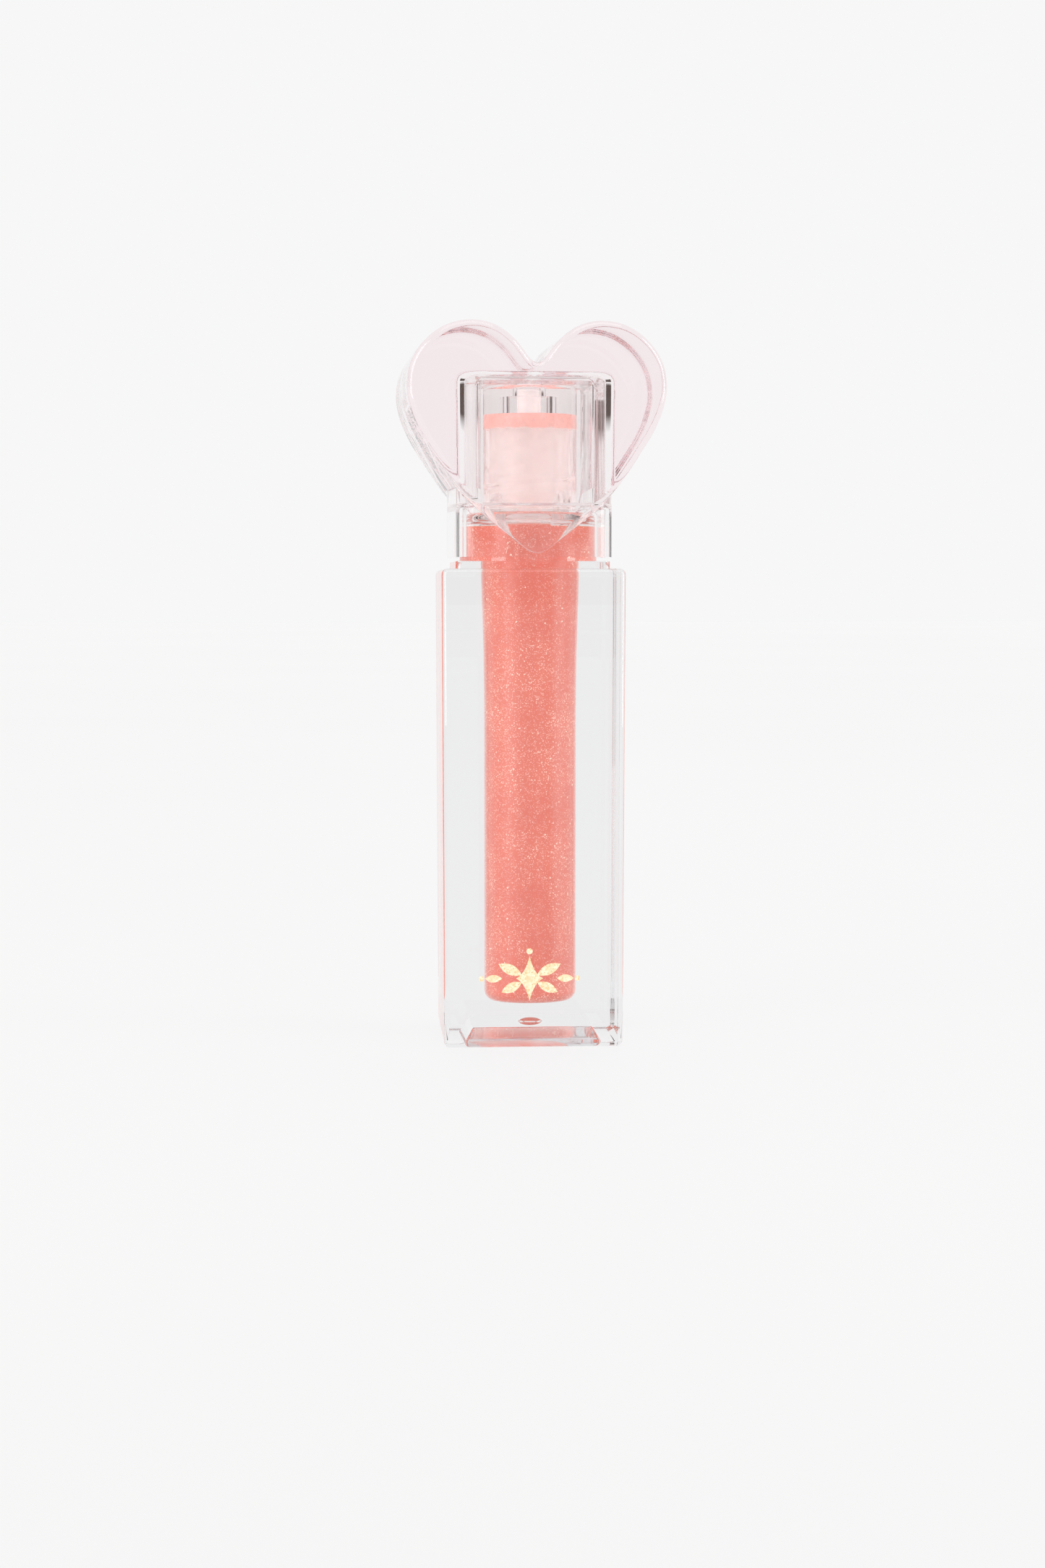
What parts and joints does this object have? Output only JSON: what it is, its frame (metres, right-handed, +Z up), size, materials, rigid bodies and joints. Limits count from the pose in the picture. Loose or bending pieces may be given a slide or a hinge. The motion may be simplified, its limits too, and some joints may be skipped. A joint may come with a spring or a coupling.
{
  "type": "lip gloss tube",
  "caption": "Thick-walled clear square bottle of shimmering gloss with a clear heart-shaped screw cap, a square clear collar and a flocked wand inside.",
  "frame": {"origin": "centre of the bottle's base, on the surface it stands on", "axes": "+Z up along the bottle, the bore and the wand; -Y is the front, the face with the foil ornament; +X is to the right seen from the front"},
  "size_m": [0.0296, 0.0216, 0.0805],
  "materials": {
    "clear_plastic": "clear polished moulding",
    "pink_plastic": "clear polished moulding with a pale pink tint",
    "gloss": "coral pink gel with fine pale shimmer",
    "wiper_plastic": "soft translucent plastic wet with gloss",
    "rod_plastic": "smooth stem wet with gloss",
    "flock": "short soft flock soaked in gloss",
    "gold_foil": "hot-stamped glittering pale gold foil"
  },
  "bodies": {
    "bottle": {"bottle_body": "clear_plastic", "gloss_fill": "gloss", "wiper": "wiper_plastic", "foil_sparkle": "gold_foil", "foil_dot_top": "gold_foil", "foil_leaf_upper_left": "gold_foil", "foil_leaf_lower_left": "gold_foil", "foil_leaf_outer_left": "gold_foil", "foil_dot_left": "gold_foil", "foil_leaf_upper_right": "gold_foil", "foil_leaf_lower_right": "gold_foil", "foil_leaf_outer_right": "gold_foil", "foil_dot_right": "gold_foil"},
    "wand": {"applicator_rod": "rod_plastic", "applicator_tip": "flock"},
    "cap": {"cap_liner": "clear_plastic", "cap_collar": "clear_plastic", "heart_cap": "pink_plastic"}
  },
  "joints": [
    {"name": "lift_off", "type": "slide", "parent": "bottle", "child": "wand", "axis": [0, 0, 1], "range_m": [0, 0.068]},
    {"name": "cap_turn", "type": "hinge", "parent": "wand", "child": "cap", "pos_m": [0, 0, 0.0648], "axis": [0, 0, 1], "range_deg": [0, 630]}
  ]
}
